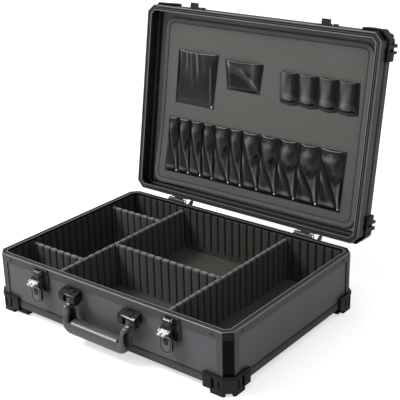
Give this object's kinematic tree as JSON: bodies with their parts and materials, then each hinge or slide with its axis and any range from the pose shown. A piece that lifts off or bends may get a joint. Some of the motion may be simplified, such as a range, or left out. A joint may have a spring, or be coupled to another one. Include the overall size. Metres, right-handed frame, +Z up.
{
  "type": "hard tool case",
  "caption": "Framed hard case with hinged lid, draw latches, swinging front handle, corner guards, tool board with pockets in the lid and lift-out padded dividers in the base.",
  "frame": {"origin": "on the plane the feet stand on, under the middle of the base frame in plan", "axes": "+X to the right seen from the front, +Y towards the hinges at the back, +Z up"},
  "size_m": [0.4682, 0.4711, 0.4412],
  "materials": {
    "frame_metal": "dark anodised satin",
    "corner_posts": "black satin",
    "panel_skin": "dark grey satin",
    "inner_panels": "matt",
    "corner_guard": "moulded semi-matt",
    "fasteners": "bright",
    "hinge_metal": "zinc plated",
    "lining_foam": "soft foam",
    "divider_pad": "soft foam",
    "latch_plate": "dark nickel",
    "latch_lever": "black gloss",
    "latch_chrome": "polished",
    "bracket": "black gloss",
    "handle_grip": "satin",
    "lid_liner": "soft foam",
    "board_cloth": "woven cloth",
    "pocket_vinyl": "glossy vinyl"
  },
  "bodies": {
    "base": {"base_rim": "frame_metal", "base_edge": "frame_metal", "base_posts": "corner_posts", "base_front_panel": "panel_skin", "base_back_panel": "panel_skin", "base_left_panel": "panel_skin", "base_right_panel": "panel_skin", "base_floor": "inner_panels", "base_guards": "corner_guard", "frame_screws": "fasteners", "lining_front": "lining_foam", "lining_back": "lining_foam", "lining_left": "lining_foam", "lining_right": "lining_foam", "floor_mat": "lining_foam", "hinge_base_leaves": "hinge_metal", "hinge_pins": "fasteners", "latch_plates": "latch_plate", "lever_pins": "fasteners", "handle_brackets": "bracket", "handle_pins": "fasteners"},
    "lid": {"lid_rim": "frame_metal", "lid_edge": "frame_metal", "lid_posts": "corner_posts", "lid_front_panel": "panel_skin", "lid_back_panel": "panel_skin", "lid_left_panel": "panel_skin", "lid_right_panel": "panel_skin", "lid_top_panel": "inner_panels", "lid_guards": "corner_guard", "lid_foam": "lid_liner", "tool_board": "board_cloth", "pocket_large": "pocket_vinyl", "pocket_small": "pocket_vinyl", "pocket_strip": "pocket_vinyl", "pocket_row": "pocket_vinyl", "pocket_rivets": "fasteners", "keepers": "latch_plate", "hinge_lid_leaves": "hinge_metal"},
    "handle": {"handle": "handle_grip"},
    "latch_lever_left": {"lever_left": "latch_lever", "lock_left": "latch_chrome"},
    "latch_lever_right": {"lever_right": "latch_lever", "lock_right": "latch_chrome"},
    "latch_hook_left": {"hook_left": "latch_chrome"},
    "latch_hook_right": {"hook_right": "latch_chrome"},
    "divider_left": {"divider_left": "divider_pad"},
    "divider_right": {"divider_right": "divider_pad"},
    "divider_front_left": {"divider_front_left": "divider_pad"},
    "divider_back_left": {"divider_back_left": "divider_pad"},
    "divider_middle": {"divider_middle": "divider_pad"}
  },
  "joints": [
    {"name": "lid_hinge", "type": "hinge", "parent": "base", "child": "lid", "pos_m": [0, 0.1713, 0.098], "axis": [-1, 0, 0], "range_deg": [-99, 0]},
    {"name": "handle_swing", "type": "hinge", "parent": "base", "child": "handle", "pos_m": [0, -0.176, 0.072], "axis": [-1, 0, 0], "range_deg": [0, 90]},
    {"name": "latch_lever_left_swing", "type": "hinge", "parent": "base", "child": "latch_lever_left", "pos_m": [-0.13, -0.1725, 0.091], "axis": [-1, 0, 0], "range_deg": [0, 115]},
    {"name": "latch_hook_left_swing", "type": "hinge", "parent": "latch_lever_left", "child": "latch_hook_left", "pos_m": [-0.13, -0.1705, 0.086], "axis": [1, 0, 0], "range_deg": [-92.6, 0]},
    {"name": "latch_lever_right_swing", "type": "hinge", "parent": "base", "child": "latch_lever_right", "pos_m": [0.13, -0.1725, 0.091], "axis": [-1, 0, 0], "range_deg": [0, 115]},
    {"name": "latch_hook_right_swing", "type": "hinge", "parent": "latch_lever_right", "child": "latch_hook_right", "pos_m": [0.13, -0.1705, 0.086], "axis": [1, 0, 0], "range_deg": [-92.6, 0]},
    {"name": "divider_left_lift", "type": "slide", "parent": "base", "child": "divider_left", "axis": [0, 0, 1], "range_m": [0, 0.1]},
    {"name": "divider_right_lift", "type": "slide", "parent": "base", "child": "divider_right", "axis": [0, 0, 1], "range_m": [0, 0.1]},
    {"name": "divider_front_left_lift", "type": "slide", "parent": "base", "child": "divider_front_left", "axis": [0, 0, 1], "range_m": [0, 0.1]},
    {"name": "divider_back_left_lift", "type": "slide", "parent": "base", "child": "divider_back_left", "axis": [0, 0, 1], "range_m": [0, 0.1]},
    {"name": "divider_middle_lift", "type": "slide", "parent": "base", "child": "divider_middle", "axis": [0, 0, 1], "range_m": [0, 0.1]}
  ]
}
